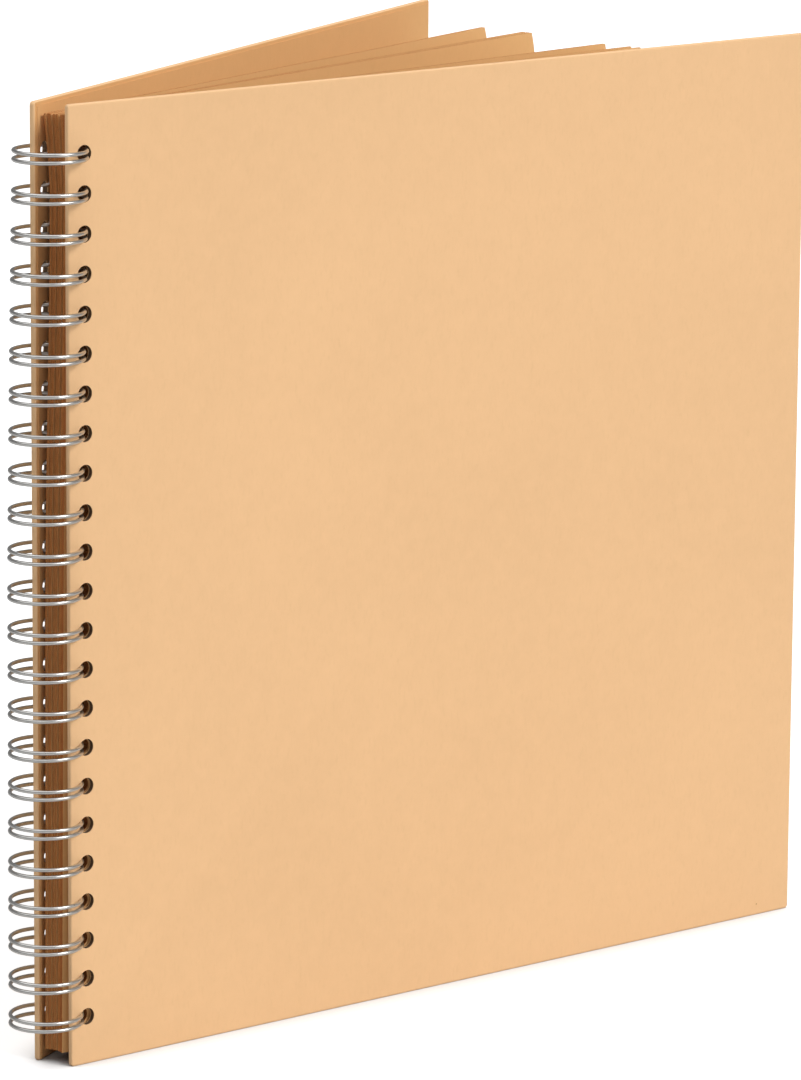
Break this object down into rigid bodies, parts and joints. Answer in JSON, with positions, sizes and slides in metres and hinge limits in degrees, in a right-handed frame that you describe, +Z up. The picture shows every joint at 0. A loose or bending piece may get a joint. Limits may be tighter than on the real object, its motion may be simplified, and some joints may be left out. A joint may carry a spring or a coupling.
{
  "type": "sketchbook",
  "caption": "Square kraft sketchbook with hard covers and a double-loop wire binding, standing open on its bottom edges with its sheets fanned out.",
  "frame": {"origin": "middle of the open book's footprint, on the surface it stands on", "axes": "+X along the back cover from the binding to its fore-edge, +Y out of the back cover's outside face, +Z up along the binding"},
  "size_m": [0.3313, 0.1626, 0.311],
  "materials": {
    "cover_paper": "matte kraft paper over board",
    "grey_board": "raw grey board",
    "endpaper": "matte kraft paper",
    "sheet_paper": "matte kraft paper",
    "binding_wire": "bright nickel-coloured wire"
  },
  "bodies": {
    "wire": {"wire_binding": "binding_wire"},
    "back_cover": {"back_wrap": "cover_paper", "back_board": "grey_board", "back_endpaper": "endpaper"},
    "front_cover": {"front_wrap": "cover_paper", "front_board": "grey_board", "front_endpaper": "endpaper"},
    "sheet_01": {"sheet_01": "sheet_paper"},
    "sheet_02": {"sheet_02": "sheet_paper"},
    "sheet_03": {"sheet_03": "sheet_paper"},
    "sheet_04": {"sheet_04": "sheet_paper"},
    "sheet_05": {"sheet_05": "sheet_paper"},
    "sheet_06": {"sheet_06": "sheet_paper"},
    "sheet_07": {"sheet_07": "sheet_paper"},
    "sheet_08": {"sheet_08": "sheet_paper"},
    "sheet_09": {"sheet_09": "sheet_paper"},
    "sheet_10": {"sheet_10": "sheet_paper"},
    "sheet_11": {"sheet_11": "sheet_paper"},
    "sheet_12": {"sheet_12": "sheet_paper"},
    "sheet_13": {"sheet_13": "sheet_paper"},
    "sheet_14": {"sheet_14": "sheet_paper"},
    "sheet_15": {"sheet_15": "sheet_paper"},
    "sheet_16": {"sheet_16": "sheet_paper"},
    "sheet_17": {"sheet_17": "sheet_paper"},
    "sheet_18": {"sheet_18": "sheet_paper"},
    "sheet_19": {"sheet_19": "sheet_paper"},
    "sheet_20": {"sheet_20": "sheet_paper"},
    "sheet_21": {"sheet_21": "sheet_paper"},
    "sheet_22": {"sheet_22": "sheet_paper"},
    "sheet_23": {"sheet_23": "sheet_paper"},
    "sheet_24": {"sheet_24": "sheet_paper"},
    "sheet_25": {"sheet_25": "sheet_paper"},
    "sheet_26": {"sheet_26": "sheet_paper"},
    "sheet_27": {"sheet_27": "sheet_paper"},
    "sheet_28": {"sheet_28": "sheet_paper"},
    "sheet_29": {"sheet_29": "sheet_paper"},
    "sheet_30": {"sheet_30": "sheet_paper"}
  },
  "joints": [
    {"name": "front_cover_turn", "type": "hinge", "parent": "wire", "child": "front_cover", "pos_m": [-0.15351, 0.06914, 0], "axis": [0, 0, -1], "range_deg": [-27, 153]},
    {"name": "back_cover_turn", "type": "hinge", "parent": "wire", "child": "back_cover", "pos_m": [-0.15351, 0.06914, 0], "axis": [0, 0, 1], "range_deg": [0, 60]},
    {"name": "sheet_01_turn", "type": "hinge", "parent": "wire", "child": "sheet_01", "pos_m": [-0.15351, 0.06914, 0], "axis": [0, 0, -1], "range_deg": [-4.12, 23.27]},
    {"name": "sheet_02_turn", "type": "hinge", "parent": "wire", "child": "sheet_02", "pos_m": [-0.15351, 0.06914, 0], "axis": [0, 0, -1], "range_deg": [-4.19, 23.65]},
    {"name": "sheet_03_turn", "type": "hinge", "parent": "wire", "child": "sheet_03", "pos_m": [-0.15351, 0.06914, 0], "axis": [0, 0, -1], "range_deg": [-4.25, 24.04]},
    {"name": "sheet_04_turn", "type": "hinge", "parent": "wire", "child": "sheet_04", "pos_m": [-0.15351, 0.06914, 0], "axis": [0, 0, -1], "range_deg": [-7.03, 39.79]},
    {"name": "sheet_05_turn", "type": "hinge", "parent": "wire", "child": "sheet_05", "pos_m": [-0.15351, 0.06914, 0], "axis": [0, 0, -1], "range_deg": [-7.12, 40.25]},
    {"name": "sheet_06_turn", "type": "hinge", "parent": "wire", "child": "sheet_06", "pos_m": [-0.15351, 0.06914, 0], "axis": [0, 0, -1], "range_deg": [-7.25, 41.02]},
    {"name": "sheet_07_turn", "type": "hinge", "parent": "wire", "child": "sheet_07", "pos_m": [-0.15351, 0.06914, 0], "axis": [0, 0, -1], "range_deg": [-7.32, 41.43]},
    {"name": "sheet_08_turn", "type": "hinge", "parent": "wire", "child": "sheet_08", "pos_m": [-0.15351, 0.06914, 0], "axis": [0, 0, -1], "range_deg": [-7.39, 41.83]},
    {"name": "sheet_09_turn", "type": "hinge", "parent": "wire", "child": "sheet_09", "pos_m": [-0.15351, 0.06914, 0], "axis": [0, 0, -1], "range_deg": [-7.47, 42.24]},
    {"name": "sheet_10_turn", "type": "hinge", "parent": "wire", "child": "sheet_10", "pos_m": [-0.15351, 0.06914, 0], "axis": [0, 0, -1], "range_deg": [-12.76, 72.23]},
    {"name": "sheet_11_turn", "type": "hinge", "parent": "wire", "child": "sheet_11", "pos_m": [-0.15351, 0.06914, 0], "axis": [0, 0, -1], "range_deg": [-12.83, 72.61]},
    {"name": "sheet_12_turn", "type": "hinge", "parent": "wire", "child": "sheet_12", "pos_m": [-0.15351, 0.06914, 0], "axis": [0, 0, -1], "range_deg": [-12.89, 73]},
    {"name": "sheet_13_turn", "type": "hinge", "parent": "wire", "child": "sheet_13", "pos_m": [-0.15351, 0.06914, 0], "axis": [0, 0, -1], "range_deg": [-14.78, 83.71]},
    {"name": "sheet_14_turn", "type": "hinge", "parent": "wire", "child": "sheet_14", "pos_m": [-0.15351, 0.06914, 0], "axis": [0, 0, -1], "range_deg": [-14.87, 84.16]},
    {"name": "sheet_15_turn", "type": "hinge", "parent": "wire", "child": "sheet_15", "pos_m": [-0.15351, 0.06914, 0], "axis": [0, 0, -1], "range_deg": [-15.46, 87.53]},
    {"name": "sheet_16_turn", "type": "hinge", "parent": "wire", "child": "sheet_16", "pos_m": [-0.15351, 0.06914, 0], "axis": [0, 0, -1], "range_deg": [-15.54, 87.99]},
    {"name": "sheet_17_turn", "type": "hinge", "parent": "wire", "child": "sheet_17", "pos_m": [-0.15351, 0.06914, 0], "axis": [0, 0, -1], "range_deg": [-22.69, 128.53]},
    {"name": "sheet_18_turn", "type": "hinge", "parent": "wire", "child": "sheet_18", "pos_m": [-0.15351, 0.06914, 0], "axis": [0, 0, -1], "range_deg": [-22.94, 129.94]},
    {"name": "sheet_19_turn", "type": "hinge", "parent": "wire", "child": "sheet_19", "pos_m": [-0.15351, 0.06914, 0], "axis": [0, 0, -1], "range_deg": [-23.19, 131.37]},
    {"name": "sheet_20_turn", "type": "hinge", "parent": "wire", "child": "sheet_20", "pos_m": [-0.15351, 0.06914, 0], "axis": [0, 0, -1], "range_deg": [-23.44, 132.77]},
    {"name": "sheet_21_turn", "type": "hinge", "parent": "wire", "child": "sheet_21", "pos_m": [-0.15351, 0.06914, 0], "axis": [0, 0, -1], "range_deg": [-23.69, 134.18]},
    {"name": "sheet_22_turn", "type": "hinge", "parent": "wire", "child": "sheet_22", "pos_m": [-0.15351, 0.06914, 0], "axis": [0, 0, -1], "range_deg": [-23.94, 135.6]},
    {"name": "sheet_23_turn", "type": "hinge", "parent": "wire", "child": "sheet_23", "pos_m": [-0.15351, 0.06914, 0], "axis": [0, 0, -1], "range_deg": [-24.19, 137.01]},
    {"name": "sheet_24_turn", "type": "hinge", "parent": "wire", "child": "sheet_24", "pos_m": [-0.15351, 0.06914, 0], "axis": [0, 0, -1], "range_deg": [-24.44, 138.42]},
    {"name": "sheet_25_turn", "type": "hinge", "parent": "wire", "child": "sheet_25", "pos_m": [-0.15351, 0.06914, 0], "axis": [0, 0, -1], "range_deg": [-24.69, 139.83]},
    {"name": "sheet_26_turn", "type": "hinge", "parent": "wire", "child": "sheet_26", "pos_m": [-0.15351, 0.06914, 0], "axis": [0, 0, -1], "range_deg": [-24.94, 141.25]},
    {"name": "sheet_27_turn", "type": "hinge", "parent": "wire", "child": "sheet_27", "pos_m": [-0.15351, 0.06914, 0], "axis": [0, 0, -1], "range_deg": [-25.19, 142.66]},
    {"name": "sheet_28_turn", "type": "hinge", "parent": "wire", "child": "sheet_28", "pos_m": [-0.15351, 0.06914, 0], "axis": [0, 0, -1], "range_deg": [-25.44, 144.06]},
    {"name": "sheet_29_turn", "type": "hinge", "parent": "wire", "child": "sheet_29", "pos_m": [-0.15351, 0.06914, 0], "axis": [0, 0, -1], "range_deg": [-25.69, 145.49]},
    {"name": "sheet_30_turn", "type": "hinge", "parent": "wire", "child": "sheet_30", "pos_m": [-0.15351, 0.06914, 0], "axis": [0, 0, -1], "range_deg": [-25.93, 146.89]}
  ],
  "couplings": [
    {"joint": "sheet_01_turn", "follows": "front_cover_turn", "ratio": 0.152},
    {"joint": "sheet_02_turn", "follows": "front_cover_turn", "ratio": 0.1545},
    {"joint": "sheet_03_turn", "follows": "front_cover_turn", "ratio": 0.157},
    {"joint": "sheet_04_turn", "follows": "front_cover_turn", "ratio": 0.26},
    {"joint": "sheet_05_turn", "follows": "front_cover_turn", "ratio": 0.263},
    {"joint": "sheet_06_turn", "follows": "front_cover_turn", "ratio": 0.268},
    {"joint": "sheet_07_turn", "follows": "front_cover_turn", "ratio": 0.2707},
    {"joint": "sheet_08_turn", "follows": "front_cover_turn", "ratio": 0.2733},
    {"joint": "sheet_09_turn", "follows": "front_cover_turn", "ratio": 0.276},
    {"joint": "sheet_10_turn", "follows": "front_cover_turn", "ratio": 0.472},
    {"joint": "sheet_11_turn", "follows": "front_cover_turn", "ratio": 0.4745},
    {"joint": "sheet_12_turn", "follows": "front_cover_turn", "ratio": 0.477},
    {"joint": "sheet_13_turn", "follows": "front_cover_turn", "ratio": 0.547},
    {"joint": "sheet_14_turn", "follows": "front_cover_turn", "ratio": 0.55},
    {"joint": "sheet_15_turn", "follows": "front_cover_turn", "ratio": 0.572},
    {"joint": "sheet_16_turn", "follows": "front_cover_turn", "ratio": 0.575},
    {"joint": "sheet_17_turn", "follows": "front_cover_turn", "ratio": 0.84},
    {"joint": "sheet_18_turn", "follows": "front_cover_turn", "ratio": 0.8492},
    {"joint": "sheet_19_turn", "follows": "front_cover_turn", "ratio": 0.8585},
    {"joint": "sheet_20_turn", "follows": "front_cover_turn", "ratio": 0.8677},
    {"joint": "sheet_21_turn", "follows": "front_cover_turn", "ratio": 0.8769},
    {"joint": "sheet_22_turn", "follows": "front_cover_turn", "ratio": 0.8862},
    {"joint": "sheet_23_turn", "follows": "front_cover_turn", "ratio": 0.8954},
    {"joint": "sheet_24_turn", "follows": "front_cover_turn", "ratio": 0.9046},
    {"joint": "sheet_25_turn", "follows": "front_cover_turn", "ratio": 0.9138},
    {"joint": "sheet_26_turn", "follows": "front_cover_turn", "ratio": 0.9231},
    {"joint": "sheet_27_turn", "follows": "front_cover_turn", "ratio": 0.9323},
    {"joint": "sheet_28_turn", "follows": "front_cover_turn", "ratio": 0.9415},
    {"joint": "sheet_29_turn", "follows": "front_cover_turn", "ratio": 0.9508},
    {"joint": "sheet_30_turn", "follows": "front_cover_turn", "ratio": 0.96}
  ]
}
